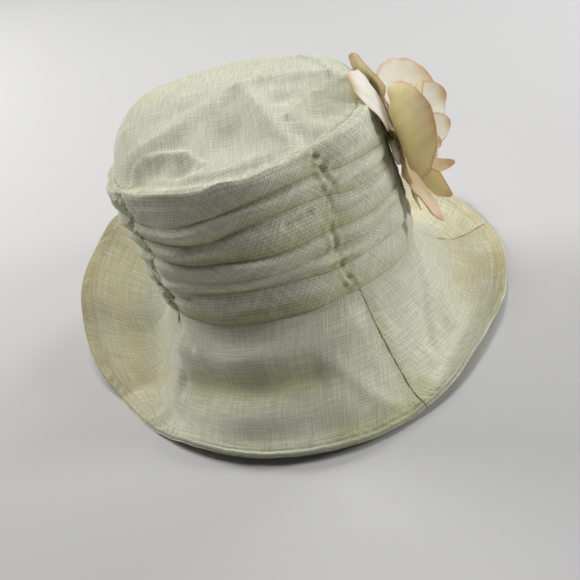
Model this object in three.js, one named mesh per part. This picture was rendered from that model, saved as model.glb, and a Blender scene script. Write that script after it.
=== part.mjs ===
import * as THREE from "three";

// A woven linen summer hat with a gathered band, a brim turned up at the front and a cloth flower.
// Millimetres, +Z up. The hat is worked out in the crown's own frame: its origin is the centre of the
// seam between band and brim, +Z runs up the crown, azimuth 0 is the back of the hat (-Y) and
// azimuth 90 is the wearer's right (+X). The crown then leans forward, and a little to the right, as
// the hat rests on a table.

// Driving dimensions
const HEAD_HALF_WIDTH = 88;
const HEAD_HALF_LENGTH = 101;
const CLOTH = 2;
const BAND_LINING = 1.2;
const HEM = 3;
const SEWN_GAP = 0.3;
const CROWN_LEAN = 10.4;
const SIDE_LEAN = 1.2;
const FLATTENED = 2;
const COLUMNS = 72;

// Band folds: how far a fold stands out, how wide a crease is below and above its line
const FOLD_PUFF = 4;
const CREASE_BELOW = 9;
const CREASE_ABOVE = 3;
const TOP_LIP = 3.5;
const SEAM_EASE = 1.5;
const GATHERS = [-158, -63, 18, 108];
const GATHER_HALF_WIDTH = 6;
const GATHER_PULL = 1;
const SEAM_TUCK = 0.6;
const WAIST_SHARE = 0.6;

// Rows and columns of facets
const BAND_STEPS = [0.3, 0.62, 0.86, 1];
const BAND_INNER_ROWS = 5;
const TIP_OUTER_ROWS = 9;
const TIP_INNER_ROWS = 5;
const BRIM_ROWS = 8;

const LINEN = { color: 0xe3e0c6, roughness: 0.92, metalness: 0 };
const PETAL_CLOTH = { color: 0xeee0c0, roughness: 0.85, metalness: 0 };
const STALK_CLOTH = { color: 0xb9ab74, roughness: 0.9, metalness: 0 };

const named = (names, rows) => rows.map((row) => Object.fromEntries(names.map((name, i) => [name, row[i]])));

// Crown tip by azimuth: where it is sewn to the band, its shoulder and the crest of its top.
// Scale is a share of the head oval, height is above the brim seam. The waist is the band's scale
// part of the way up, pressed in on the right behind the flower.
const TIP_SECTIONS = named(
  [
    ["azimuth", "waistScale", "seamScale", "seamHeight"],
    ["shoulderScale", "shoulderHeight", "crestScale", "crestHeight"],
  ].flat(),
  [
    [-150, 1.02, 1.03, 106, 0.93, 127, 0.7, 131],
    [-128, 1.03, 1.05, 101, 0.97, 125, 0.75, 131],
    [-105, 1.05, 1.08, 96, 1.02, 117, 0.8, 128],
    [-80, 1.06, 1.1, 92, 1.03, 105, 0.82, 118],
    [-60, 1.05, 1.09, 95, 0.98, 100, 0.8, 111],
    [-40, 1.04, 1.07, 97, 0.9, 101, 0.55, 113],
    [-20, 1.035, 1.06, 97, 0.85, 102, 0.4, 116],
    [0, 1.03, 1.05, 98, 0.82, 104, 0.35, 118],
    [20, 1.02, 1.04, 101, 0.82, 107, 0.45, 119],
    [40, 1, 1.01, 104, 0.86, 110, 0.6, 119],
    [62, 0.97, 0.95, 107, 0.86, 112, 0.68, 119],
    [88, 0.955, 0.92, 108, 0.84, 116, 0.65, 121],
    [125, 0.98, 0.96, 108, 0.9, 118, 0.68, 124],
    [165, 1.01, 1.01, 108, 0.9, 122, 0.7, 127],
  ],
);
const TIP_APEX = new THREE.Vector3(0, 4, 125);

// Soft dents in the top: azimuth and share of the radius at the middle, depth, half-width
const TIP_DENTS = named(
  ["azimuth", "share", "depth", "halfWidth"],
  [
    [-16, 0.62, 5, 20],
    [-42, 0.86, 4, 12],
    [-62, 0.86, 3, 9],
    [40, 0.55, 4, 16],
  ],
);

// The five crease rings of the band by azimuth, from the top down: height of each above the brim
// seam, and its share of the full depth
const CREASE_RINGS = [1, 2, 3, 4, 5];
const CREASES = named(
  ["azimuth", ...CREASE_RINGS.flatMap((ring) => [`height${ring}`, `depth${ring}`])],
  [
    [-142, 78, 0.6, 61, 0.7, 45, 0.8, 32, 0.5, 21, 0.8],
    [-108, 80, 0.8, 60, 0.9, 44, 0.9, 33, 0.4, 22, 0.9],
    [-76, 76, 0.6, 61, 0.8, 47, 0.8, 34, 0.3, 21, 0.7],
    [-56, 73, 0.7, 60, 1, 45.5, 1, 33, 0.15, 22, 0.9],
    [-38, 69, 0.5, 60, 1, 44.5, 1, 33, 0.1, 24, 1],
    [-22, 76, 0.5, 62, 1, 44, 1, 33, 0.15, 25, 1],
    [-5, 81, 0.9, 68.5, 0.8, 43, 1, 32, 0.4, 24, 1],
    [12, 84, 1, 70, 0.6, 44, 1, 32.5, 0.6, 21, 0.9],
    [30, 80, 0.9, 63, 0.8, 43.5, 1, 32, 0.6, 21, 0.6],
    [50, 76, 1, 62, 0.6, 43.5, 0.9, 35, 0.4, 19.5, 0.5],
    [76, 71, 0.3, 58, 0.3, 42, 0.6, 33, 0.4, 20, 0.6],
    [118, 77, 0.6, 61, 0.7, 45, 0.8, 33, 0.6, 20, 0.7],
    [165, 79, 0.9, 61, 0.9, 43.5, 1, 32, 0.4, 22, 0.9],
  ],
);

// Brim by azimuth: three points of its section, out from the head oval and above the seam, and how
// far the last of it curls up
const BRIM_SECTIONS = named(
  ["azimuth", "wallOut", "wallHeight", "bendOut", "bendHeight", "edgeOut", "edgeHeight", "lip"],
  [
    [-160, 16, -15, 42, -13, 70, 26, 0],
    [-134, 16, -11, 42, -2, 73, 32, 0],
    [-126, 15, -13, 40, -9, 78, 20, 0],
    [-113, 12, -18, 36, -24, 80, 0, 0],
    [-106, 11, -21, 32, -36, 78, -19, 0],
    [-92, 9, -26, 26, -49, 66, -45, 0],
    [-81, 9, -27, 26, -56, 54, -61, 2],
    [-65, 10, -27, 29, -60, 47, -70, 5],
    [-42, 11, -28, 29, -59, 44, -72, 5],
    [-25, 12, -29, 31, -59, 45, -73, 2],
    [-5, 12, -29, 32, -60, 46, -75, 1],
    [10, 12, -29, 32, -61, 46, -77, 2],
    [22, 12, -30, 32, -63, 46, -76, 5],
    [34, 11, -31, 31, -65, 46, -72, 7],
    [47, 10, -31, 29, -64, 46, -67, 8],
    [60, 10, -28, 28, -58, 49, -60, 5],
    [82, 10, -26, 29, -50, 56, -52, 1],
    [100, 12, -24, 36, -44, 66, -44, 0],
    [114, 14, -22, 42, -38, 72, -36, 0],
    [126, 15, -19, 45, -33, 76, -25, 0],
    [150, 15, -18, 44, -29, 72, -2, 0],
    [176, 15, -17, 42, -26, 68, 16, 0],
  ],
);
const LIP_START = 0.75;
const BRIM_REACH = 60;

// The brim's four panels, each from one sewn seam to the next
const BRIM_PANELS = named(
  ["name", "from", "to"],
  [
    ["brim_back_left", -66, 22],
    ["brim_back_right", 22, 108],
    ["brim_front_right", 108, 202],
    ["brim_front_left", 202, 294],
  ],
);

// Flower: where its pad sits on the band, and which way its stalk points
const FLOWER_AZIMUTH = 80;
const FLOWER_HEIGHT = 64;
const STALK_AZIMUTH = 88;
const STALK_RISE = 11;
const PAD_RADIUS = 13;
const PAD_THICKNESS = 2.5;
const PAD_SIDES = 20;
const STALK_RADIUS = 5;
const STALK_SIDES = 12;
const PETAL_THICKNESS = 1;
const PETAL_EASE = 0.8;

// Petals by the level of the stalk that they are sewn to, from the band outwards. Turn is measured
// round the stalk, from the top of the hat towards its back. Opening and tip are the angles between
// the stalk and the petal's foot and tip: a petal bends evenly from the one to the other. Fan is the
// widest angle to each side that it takes close to the stalk. Roll twists it about its middle line,
// in full from ROLL_SHARE of its length.
const PETALS = named(
  ["name", "level", "turn", "opening", "tip", "length", "width", "fan", "roll"],
  [
    ["petal_back", 0, 92, 96, 106, 36, 18, 18, 0],
    ["petal_outer_near_low", 0, 220, 88, 88, 62, 29, 28, 26],
    ["petal_outer_shoulder", 0, 32, 78, 121, 66, 57, 32, -5],
    ["petal_outer_far", 0, -90, 95, 104, 42, 26, 28, 0],
    ["petal_outer_top", 1, -42, 82, 103, 66, 56, 44, 12],
    ["petal_outer_low", 0, 166, 97, 97, 46, 25, 24, 0],
    ["petal_outer_far_top", 2, -76, 80, 96, 56, 34, 34, -1],
    ["petal_outer_low_near", 1, 138, 94, 82, 63, 23, 34, 28],
    ["petal_middle_far_low", 3, -146, 106, 14, 62, 15, 24, 42],
    ["petal_middle_low", 2, 170, 86, 62, 50, 50, 30, -22],
    ["petal_middle_near", 3, 67, 105, 21, 58, 89, 60, -9],
    ["petal_middle_far_top", 4, -85, 90, 26, 79, 92, 64, -9],
    ["petal_middle_far", 5, -93, 79, 21, 67, 48, 60, 6],
    ["petal_inner_far", 6, -119, 70, 11, 44, 30, 50, 28],
    ["petal_inner_top", 6, 0, 64, 14, 34, 36, 50, 0],
    ["petal_inner_low", 6, 118, 60, 14, 23, 34, 50, 0],
  ],
);
const ROLL_SHARE = 0.4;
const PETAL_LEVELS = [1, 2.4, 3.8, 5.2, 6.6, 8.6, 10.6];
const PETAL_LEAST = 3;
const PETAL_ROWS = 5;
const PETAL_COLUMNS = 6;

const radians = THREE.MathUtils.degToRad;

// Smooth curve through uneven knots, evaluated at x
function throughKnots(knots, values, x) {
  const last = knots.length - 1;
  let i = 0;
  while (i < last - 1 && x > knots[i + 1]) i += 1;
  const slope = (k) => {
    const before = Math.max(k - 1, 0);
    const after = Math.min(k + 1, last);
    return (values[after] - values[before]) / (knots[after] - knots[before]);
  };
  const span = knots[i + 1] - knots[i];
  const t = (x - knots[i]) / span;
  const rise = t * t * (3 - 2 * t);
  const leave = t * (1 - t) * (1 - t) * span;
  const arrive = t * t * (t - 1) * span;
  return values[i] * (1 - rise) + values[i + 1] * rise + slope(i) * leave + slope(i + 1) * arrive;
}

// One column of a table that runs round the head, at any azimuth
function around(sections, column, azimuth) {
  const turn = THREE.MathUtils.euclideanModulo(azimuth + 180, 360) - 180;
  const first = sections.slice(0, 2).map((row) => ({ ...row, azimuth: row.azimuth + 360 }));
  const last = sections.slice(-2).map((row) => ({ ...row, azimuth: row.azimuth - 360 }));
  const rows = [...last, ...sections, ...first];
  return throughKnots(rows.map((row) => row.azimuth), rows.map((row) => row[column]), turn);
}

// Point on a curve through a few section points, at an even share of their length
function alongSection(points, share) {
  const knots = [0];
  for (let i = 1; i < points.length; i += 1) {
    knots.push(knots[i - 1] + Math.hypot(points[i][0] - points[i - 1][0], points[i][1] - points[i - 1][1]));
  }
  const x = share * knots[knots.length - 1];
  return [0, 1].map((axis) => throughKnots(knots, points.map((point) => point[axis]), x));
}

// Radius of the head oval at an azimuth
function headRadius(azimuth) {
  const a = radians(azimuth);
  const across = HEAD_HALF_LENGTH * Math.sin(a);
  const along = HEAD_HALF_WIDTH * Math.cos(a);
  return (HEAD_HALF_WIDTH * HEAD_HALF_LENGTH) / Math.hypot(across, along);
}

const onHat = (azimuth, radius, height) =>
  new THREE.Vector3(radius * Math.sin(radians(azimuth)), -radius * Math.cos(radians(azimuth)), height);

const smallestTurn = (a, b) => Math.abs(THREE.MathUtils.euclideanModulo(a - b + 180, 360) - 180);

// Closed mesh from loops of points, each joined to the next. The first and last loop are joined too
// if the body runs all the way round; a loop of one point closes an end to a pole; other ends get a
// ladder of facets between the loop's two halves.
function bodyOfLoops(loops, allRound) {
  const vertices = [];
  const starts = loops.map((loop) => {
    const start = vertices.length / 3;
    loop.forEach((point) => vertices.push(point.x, point.y, point.z));
    return start;
  });
  const faces = [];
  const joinLoops = (i, j) => {
    const size = Math.max(loops[i].length, loops[j].length);
    for (let k = 0; k < size; k += 1) {
      const next = (k + 1) % size;
      const a = starts[i] + (loops[i].length === 1 ? 0 : k);
      const b = starts[i] + (loops[i].length === 1 ? 0 : next);
      const c = starts[j] + (loops[j].length === 1 ? 0 : next);
      const d = starts[j] + (loops[j].length === 1 ? 0 : k);
      if (a !== b) faces.push(a, b, c);
      if (c !== d) faces.push(a, c, d);
    }
  };
  for (let i = 0; i + 1 < loops.length; i += 1) joinLoops(i, i + 1);
  if (allRound) joinLoops(loops.length - 1, 0);
  const ladder = (start, size, outward) => {
    for (let k = 0; k < size / 2 - 1; k += 1) {
      const quad = [start + k, start + k + 1, start + size - 2 - k, start + size - 1 - k];
      if (outward) quad.reverse();
      faces.push(quad[0], quad[2], quad[1], quad[0], quad[3], quad[2]);
    }
  };
  if (!allRound && loops[0].length > 1) ladder(starts[0], loops[0].length, false);
  if (!allRound && loops.at(-1).length > 1) ladder(starts.at(-1), loops.at(-1).length, true);
  const geometry = new THREE.BufferGeometry();
  geometry.setAttribute("position", new THREE.Float32BufferAttribute(vertices, 3));
  geometry.setIndex(faces);
  geometry.computeVertexNormals();
  return geometry;
}

// Signed volume, to turn a body's facets outwards
function facingOut(geometry) {
  const position = geometry.getAttribute("position");
  const index = geometry.getIndex();
  const corner = [new THREE.Vector3(), new THREE.Vector3(), new THREE.Vector3()];
  let volume = 0;
  for (let i = 0; i < index.count; i += 3) {
    corner.forEach((point, k) => point.fromBufferAttribute(position, index.getX(i + k)));
    volume += corner[0].dot(corner[1].clone().cross(corner[2]));
  }
  if (volume < 0) {
    const flipped = Array.from(index.array).reverse();
    geometry.setIndex(flipped);
    geometry.computeVertexNormals();
  }
  return geometry;
}

// The same grid of points moved to its other side by a thickness
function offsetGrid(grid, thickness) {
  return grid.map((row, i) =>
    row.map((point, j) => {
      const before = grid[Math.max(i - 1, 0)][j];
      const after = grid[Math.min(i + 1, grid.length - 1)][j];
      const left = row[Math.max(j - 1, 0)];
      const right = row[Math.min(j + 1, row.length - 1)];
      const normal = after.clone().sub(before).cross(right.clone().sub(left)).normalize();
      return point.clone().addScaledVector(normal, thickness);
    }),
  );
}

// Depth of the pull at the nearest gather, 0 to 1
function gatherPull(azimuth) {
  const away = Math.min(...GATHERS.map((gather) => smallestTurn(azimuth, gather)));
  return Math.exp(-((away / GATHER_HALF_WIDTH) ** 2));
}

// Lines that the band is folded between: the tip seam, its creases and the brim seam
function creaseLines(azimuth) {
  const creases = CREASE_RINGS.map((ring) => ({
    height: around(CREASES, `height${ring}`, azimuth),
    depth: around(CREASES, `depth${ring}`, azimuth),
  }));
  const tipSeam = { height: around(TIP_SECTIONS, "seamHeight", azimuth), depth: 0 };
  return [tipSeam, ...creases, { height: SEWN_GAP, depth: SEAM_TUCK }];
}

// Band radius before its folds: the head oval at the brim seam, then the waist and the tip seam
function bandBaseRadius(azimuth, height) {
  const top = around(TIP_SECTIONS, "seamHeight", azimuth);
  const scales = [1, around(TIP_SECTIONS, "waistScale", azimuth), around(TIP_SECTIONS, "seamScale", azimuth)];
  return headRadius(azimuth) * throughKnots([0, WAIST_SHARE, 1], scales, height / top);
}

// How far the folded cloth stands out from the base: full puff, with every crease cut in
function foldOut(azimuth, height, lines) {
  const cuts = lines.map((line) => {
    const width = height < line.height ? CREASE_BELOW : CREASE_ABOVE;
    return line.depth * Math.exp(-2 * ((height - line.height) / width) ** 2);
  });
  const pull = gatherPull(azimuth);
  return FOLD_PUFF * (1 - Math.max(...cuts)) * (1 - pull / 2) + GATHER_PULL * (1 - pull);
}

// Loop round the band's wall at one azimuth: down its folded outside and up its plain inside
function bandSection(azimuth) {
  const lines = creaseLines(azimuth);
  const top = lines[0].height;
  const loop = [[bandBaseRadius(azimuth, top) + SEAM_EASE, top]];
  loop.push([bandBaseRadius(azimuth, top) + TOP_LIP, top - TOP_LIP]);
  for (let k = 0; k + 1 < lines.length; k += 1) {
    const steps = k === 0 ? BAND_STEPS.slice(1) : BAND_STEPS;
    steps.forEach((step) => {
      const height = THREE.MathUtils.lerp(lines[k].height, lines[k + 1].height, step);
      loop.push([bandBaseRadius(azimuth, height) + foldOut(azimuth, height, lines), height]);
    });
  }
  loop.at(-1)[0] = headRadius(azimuth) + SEAM_EASE;
  for (let row = 0; row < BAND_INNER_ROWS; row += 1) {
    const height = THREE.MathUtils.lerp(SEWN_GAP, top, row / (BAND_INNER_ROWS - 1));
    loop.push([bandBaseRadius(azimuth, height) - BAND_LINING, height]);
  }
  return loop.map(([radius, height]) => onHat(azimuth, radius, height));
}

function crownBand() {
  const sections = [];
  for (let column = 0; column < COLUMNS; column += 1) sections.push(bandSection((360 * column) / COLUMNS));
  return bodyOfLoops(sections, true);
}

function tipPoint(azimuth, share, inward) {
  const oval = headRadius(azimuth);
  const row = (column) => around(TIP_SECTIONS, column, azimuth);
  const seam = [oval * row("seamScale") + 0.5 - inward, row("seamHeight") + SEWN_GAP];
  const shoulder = [oval * row("shoulderScale") - inward, row("shoulderHeight") - inward * 0.7];
  const crest = [oval * row("crestScale") - inward, row("crestHeight") - inward];
  const [radius, height] = alongSection([seam, shoulder, crest, [0, TIP_APEX.z - inward]], share);
  const settle = 1 - radius / (oval * row("seamScale"));
  const point = onHat(azimuth, radius, height);
  point.x += TIP_APEX.x * settle;
  point.y += TIP_APEX.y * settle;
  TIP_DENTS.forEach((dent) => {
    const middle = onHat(dent.azimuth, headRadius(dent.azimuth) * dent.share, 0);
    const away = Math.hypot(point.x - middle.x, point.y - middle.y) / dent.halfWidth;
    point.z -= dent.depth * Math.exp(-away * away) * Math.min(1, settle * 6);
  });
  return point;
}

function crownTip() {
  const ring = (share, inward) => {
    if (share === 1) return [tipPoint(0, 1, inward)];
    const points = [];
    for (let column = 0; column < COLUMNS; column += 1) {
      points.push(tipPoint((360 * column) / COLUMNS, share, inward));
    }
    return points;
  };
  const loops = [];
  for (let row = TIP_OUTER_ROWS; row >= 0; row -= 1) loops.push(ring(row / TIP_OUTER_ROWS, 0));
  for (let row = 0; row <= TIP_INNER_ROWS; row += 1) loops.push(ring(row / TIP_INNER_ROWS, CLOTH));
  return bodyOfLoops(loops, false);
}

// Point of the brim's upper side, in the crown's frame
function brimPoint(azimuth, share) {
  const row = (column) => around(BRIM_SECTIONS, column, azimuth);
  const section = [
    [0, 0],
    [row("wallOut"), row("wallHeight")],
    [row("bendOut"), row("bendHeight")],
    [row("edgeOut"), row("edgeHeight")],
  ];
  const [out, height] = alongSection(section, share);
  const curl = row("lip") * (Math.max(0, share - LIP_START) / (1 - LIP_START)) ** 2;
  return onHat(azimuth, headRadius(azimuth) + 0.5 + out, height + curl);
}

// Point of the brim's lower side: the upper one moved square to the cloth
function brimUnderPoint(azimuth, share) {
  const step = 0.01;
  const at = (turn, along) => brimPoint(azimuth + turn, THREE.MathUtils.clamp(share + along, 0, 1));
  const outward = at(0, step).sub(at(0, -step));
  const round = at(1, 0).sub(at(-1, 0));
  const down = round.cross(outward).normalize();
  return brimPoint(azimuth, share).addScaledVector(down, THREE.MathUtils.lerp(CLOTH, HEM, share ** 4));
}

const lean = new THREE.Matrix4()
  .makeRotationY(radians(SIDE_LEAN))
  .multiply(new THREE.Matrix4().makeRotationX(-radians(CROWN_LEAN)));

// Upper and lower side of one brim panel, leaning as the hat does
function brimPanelGrids({ from, to }) {
  const columns = Math.round(((to - from) * COLUMNS) / 360);
  const grid = (surface) => {
    const rows = [];
    for (let row = 0; row <= BRIM_ROWS; row += 1) {
      const line = [];
      for (let column = 0; column <= columns; column += 1) {
        const share = row / BRIM_ROWS;
        const azimuth = THREE.MathUtils.lerp(from, to, column / columns);
        const side = column === 0 ? 1 : column === columns ? -1 : 0;
        const radius = headRadius(azimuth) + share * BRIM_REACH;
        const inset = THREE.MathUtils.radToDeg((side * SEWN_GAP) / 2 / radius);
        line.push(surface(azimuth + inset, share).applyMatrix4(lean));
      }
      rows.push(line);
    }
    return rows;
  };
  return { upper: grid(brimPoint), lower: grid(brimUnderPoint) };
}

const panelGrids = BRIM_PANELS.map(brimPanelGrids);
const lowestPoint = Math.min(...panelGrids.flatMap(({ lower }) => lower.flat().map((point) => point.z)));
const seamHeight = -lowestPoint - FLATTENED;

// Cloth that would reach below the table lies flat on it
function brimPanel({ upper, lower }) {
  const columns = upper[0].length;
  const onTable = ({ x, y, z }, least) => new THREE.Vector3(x, y, Math.max(z + seamHeight, least));
  const sections = [];
  for (let column = 0; column < columns; column += 1) {
    const top = upper.map((row) => onTable(row[column], CLOTH));
    const bottom = lower.map((row) => onTable(row[column], 0)).reverse();
    sections.push([...top, ...bottom]);
  }
  return bodyOfLoops(sections, false);
}

// The flower's own frame has +Z along its stalk and +X towards the top of the hat
const stalkLine = onHat(STALK_AZIMUTH, Math.cos(radians(STALK_RISE)), Math.sin(radians(STALK_RISE)));
const flowerTop = new THREE.Vector3(0, 0, 1).addScaledVector(stalkLine, -stalkLine.z).normalize();
const flowerSide = stalkLine.clone().cross(flowerTop);
const seatRadius = (azimuth, height) =>
  bandBaseRadius(azimuth, height) + FOLD_PUFF + GATHER_PULL + SEWN_GAP;
const flowerSeat = onHat(FLOWER_AZIMUTH, seatRadius(FLOWER_AZIMUTH, FLOWER_HEIGHT), FLOWER_HEIGHT);

// How far below the seat's plane the band lies, at a place in the flower's frame
function depthToBand(x, y) {
  const point = flowerSeat.clone().addScaledVector(flowerTop, x).addScaledVector(flowerSide, y);
  const foot = point.clone();
  for (let pass = 0; pass < 8; pass += 1) {
    const azimuth = THREE.MathUtils.radToDeg(Math.atan2(foot.x, -foot.y));
    const clear = Math.hypot(foot.x, foot.y) - seatRadius(azimuth, foot.z);
    foot.addScaledVector(stalkLine, -clear);
  }
  return foot.sub(point).dot(stalkLine);
}

// Round pad whose back follows the band and whose face is square to the stalk
function flowerPad() {
  const ring = (radius, height) => {
    const points = [];
    for (let side = 0; side < PAD_SIDES; side += 1) {
      const turn = (2 * Math.PI * side) / PAD_SIDES;
      const x = radius * Math.cos(turn);
      const y = radius * Math.sin(turn);
      points.push(new THREE.Vector3(x, y, height ?? depthToBand(x, y)));
    }
    return points;
  };
  const back = new THREE.Vector3(0, 0, depthToBand(0, 0));
  const face = new THREE.Vector3(0, 0, PAD_THICKNESS);
  const rings = [ring(PAD_RADIUS * 0.5), ring(PAD_RADIUS), ring(PAD_RADIUS * 0.8, PAD_THICKNESS)];
  return bodyOfLoops([[back], ...rings, [face]], false);
}

// Half-width of a petal: round like a leaf, and no wider than its fan allows close to the stalk
function petalHalfWidth(petal, share, radius) {
  const round = Math.sin(Math.PI * share ** 0.75) ** 0.5;
  return Math.min((Math.max(PETAL_LEAST, petal.width * round)) / 2, radius * radians(petal.fan));
}

const STALK_LINE = new THREE.Vector3(0, 0, 1);

// A petal runs outwards from the stalk along an arc, and wraps round the stalk as a bowl does
function flowerPetal(petal) {
  const opening = radians(petal.opening);
  const start = STALK_RADIUS + PETAL_EASE + PETAL_THICKNESS * Math.abs(Math.cos(opening));
  const foot = PAD_THICKNESS + PETAL_LEVELS[petal.level];
  const upper = [];
  for (let row = 0; row <= PETAL_ROWS; row += 1) {
    const share = Math.sin((Math.PI / 2) * (row / PETAL_ROWS));
    const halfBend = (radians(petal.tip - petal.opening) * share) / 2;
    const chord = petal.length * share * (Math.sin(halfBend) / halfBend || 1);
    const radius = start + chord * Math.sin(opening + halfBend);
    const middle = new THREE.Vector3(radius, 0, foot + chord * Math.cos(opening + halfBend));
    const outwards = new THREE.Vector3(Math.sin(opening + 2 * halfBend), 0, Math.cos(opening + 2 * halfBend));
    const roll = radians(petal.roll) * Math.min(1, share / ROLL_SHARE);
    const line = [];
    for (let column = 0; column <= PETAL_COLUMNS; column += 1) {
      const across = (2 * column) / PETAL_COLUMNS - 1;
      const turn = (across * petalHalfWidth(petal, share, radius)) / radius;
      const point = new THREE.Vector3(radius * Math.cos(turn), radius * Math.sin(turn), middle.z);
      point.sub(middle).applyAxisAngle(outwards, roll).add(middle);
      line.push(point.applyAxisAngle(STALK_LINE, radians(petal.turn)));
    }
    upper.push(line);
  }
  const lower = offsetGrid(upper, PETAL_THICKNESS);
  const sections = upper.map((line, row) => [...line, ...[...lower[row]].reverse()]);
  return bodyOfLoops(sections, false);
}

function cloth(name, geometry, finish) {
  const mesh = new THREE.Mesh(facingOut(geometry), new THREE.MeshStandardMaterial(finish));
  mesh.name = name;
  return mesh;
}

const crown = new THREE.Group();
crown.quaternion.setFromRotationMatrix(lean);
crown.position.z = seamHeight;
crown.add(cloth("crown_tip", crownTip(), LINEN));
crown.add(cloth("crown_band", crownBand(), LINEN));

const flower = new THREE.Group();
flower.position.copy(flowerSeat);
flower.quaternion.setFromRotationMatrix(new THREE.Matrix4().makeBasis(flowerTop, flowerSide, stalkLine));
crown.add(flower);

flower.add(cloth("flower_base", flowerPad(), STALK_CLOTH));

const stalkLength = PETAL_LEVELS.at(-1) + 4;
const stalkOutline = [
  [0, 0],
  [STALK_RADIUS, 0],
  [STALK_RADIUS, stalkLength],
  [STALK_RADIUS * 0.7, stalkLength + 5],
  [0, stalkLength + 8],
].map(([radius, height]) => new THREE.Vector2(radius, PAD_THICKNESS + SEWN_GAP + height));
const stalk = new THREE.LatheGeometry(stalkOutline, STALK_SIDES).rotateX(Math.PI / 2);
flower.add(cloth("flower_centre", stalk, STALK_CLOTH));
PETALS.forEach((petal) => flower.add(cloth(petal.name, flowerPetal(petal), PETAL_CLOTH)));

const hat = new THREE.Group();
hat.add(crown);
BRIM_PANELS.forEach((panel, i) => hat.add(cloth(panel.name, brimPanel(panelGrids[i]), LINEN)));

// The origin is the bottom centre of the hat's bounding box
hat.updateMatrixWorld(true);
const bounds = new THREE.Box3().setFromObject(hat, true);
const middle = bounds.getCenter(new THREE.Vector3());
hat.position.set(-middle.x, -middle.y, 0);
hat.updateMatrixWorld(true);

export default hat;
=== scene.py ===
import math

import bpy
import numpy as np
from mathutils import Matrix, Vector


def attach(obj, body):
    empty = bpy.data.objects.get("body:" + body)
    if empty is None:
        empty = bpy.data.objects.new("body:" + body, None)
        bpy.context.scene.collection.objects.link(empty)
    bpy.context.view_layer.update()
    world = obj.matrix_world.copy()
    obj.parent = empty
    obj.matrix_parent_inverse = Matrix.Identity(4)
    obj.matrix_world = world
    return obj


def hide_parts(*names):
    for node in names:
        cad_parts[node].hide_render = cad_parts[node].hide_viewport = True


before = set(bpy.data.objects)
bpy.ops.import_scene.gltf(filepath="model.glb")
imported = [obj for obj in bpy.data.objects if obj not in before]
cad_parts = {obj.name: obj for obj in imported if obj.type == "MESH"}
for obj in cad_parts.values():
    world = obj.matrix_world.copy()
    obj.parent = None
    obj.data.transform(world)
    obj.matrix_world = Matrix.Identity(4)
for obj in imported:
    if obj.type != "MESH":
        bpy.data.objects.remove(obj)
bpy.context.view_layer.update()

# A woven linen summer hat. Sizes below are in millimetres unless they say otherwise. The hat is
# worked out in the crown's own frame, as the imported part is: the origin is the middle of the seam
# between band and brim, azimuth 0 is the back of the hat and azimuth 90 the wearer's right.
MM = 0.001
HEAD_HALF_WIDTH = 88
HEAD_HALF_LENGTH = 101
CLOTH = 2
HEM = 3
BAND_LINING = 1.2
SEWN_GAP = 0.3

# Share of the band's height at which its waist is measured
WAIST_SHARE = 0.6

# How far the flower's pad sits out of the band: the folds' fullness and the gathers' depth
FOLD_PUFF = 4
GATHER_PULL = 1

# Where the seam's middle lies above the table, and how the crown leans back and to the side
SEAM_MIDDLE = np.array([5.0611, -6.9274, 53.7182])
CROWN_LEAN = math.radians(10.4)
SIDE_LEAN = math.radians(1.2)
LEAN = np.array(Matrix.Rotation(SIDE_LEAN, 3, "Y") @ Matrix.Rotation(-CROWN_LEAN, 3, "X"))


def named(names, rows):
    """A table as one array for each of its columns."""
    return {name: np.array([row[i] for row in rows], float) for i, name in enumerate(names)}


# The crown round the head: the band's waist and top seam, then the top's shoulder and crest. The
# widths are shares of the head's radius
TIP_SECTIONS = named(
    ["azimuth", "waist", "seam", "seam_height", "shoulder", "shoulder_height", "crest", "crest_height"],
    [
        [-150, 1.02, 1.03, 106, 0.93, 127, 0.7, 131],
        [-128, 1.03, 1.05, 101, 0.97, 125, 0.75, 131],
        [-105, 1.05, 1.08, 96, 1.02, 117, 0.8, 128],
        [-80, 1.06, 1.1, 92, 1.03, 105, 0.82, 118],
        [-60, 1.05, 1.09, 95, 0.98, 100, 0.8, 111],
        [-40, 1.04, 1.07, 97, 0.9, 101, 0.55, 113],
        [-20, 1.035, 1.06, 97, 0.85, 102, 0.4, 116],
        [0, 1.03, 1.05, 98, 0.82, 104, 0.35, 118],
        [20, 1.02, 1.04, 101, 0.82, 107, 0.45, 119],
        [40, 1, 1.01, 104, 0.86, 110, 0.6, 119],
        [62, 0.97, 0.95, 107, 0.86, 112, 0.68, 119],
        [88, 0.955, 0.92, 108, 0.84, 116, 0.65, 121],
        [125, 0.98, 0.96, 108, 0.9, 118, 0.68, 124],
        [165, 1.01, 1.01, 108, 0.9, 122, 0.7, 127],
    ],
)

# The middle of the top: how far it lies towards the front, and its height
TIP_APEX = (4, 125)

# Soft dents in the top: azimuth and share of the radius at the middle, depth, half-width
TIP_DENTS = [[-16, 0.62, 5, 20], [-42, 0.86, 4, 12], [-62, 0.86, 3, 9], [40, 0.55, 4, 16]]

# Smaller hollows of the top: x and y of the middle, depth, half-width
TIP_HOLLOWS = [
    [-14, -42, 5, 15],
    [-45, -64, 4.4, 9],
    [-66, -50, 2.8, 7],
    [23, -30, 3.6, 9],
    [45, -62, 4.8, 11],
    [28, -78, 2.6, 8],
    [-52, -36, 2.4, 10],
    [36, -89, 4, 9],
]

# Yellowed places of the top: x and y of the middle, strength, half-width
TIP_STAINS = [[-64, 35, 0.65, 8], [-60, 26, 0.3, 12], [48, -48, 0.35, 16]]

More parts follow.
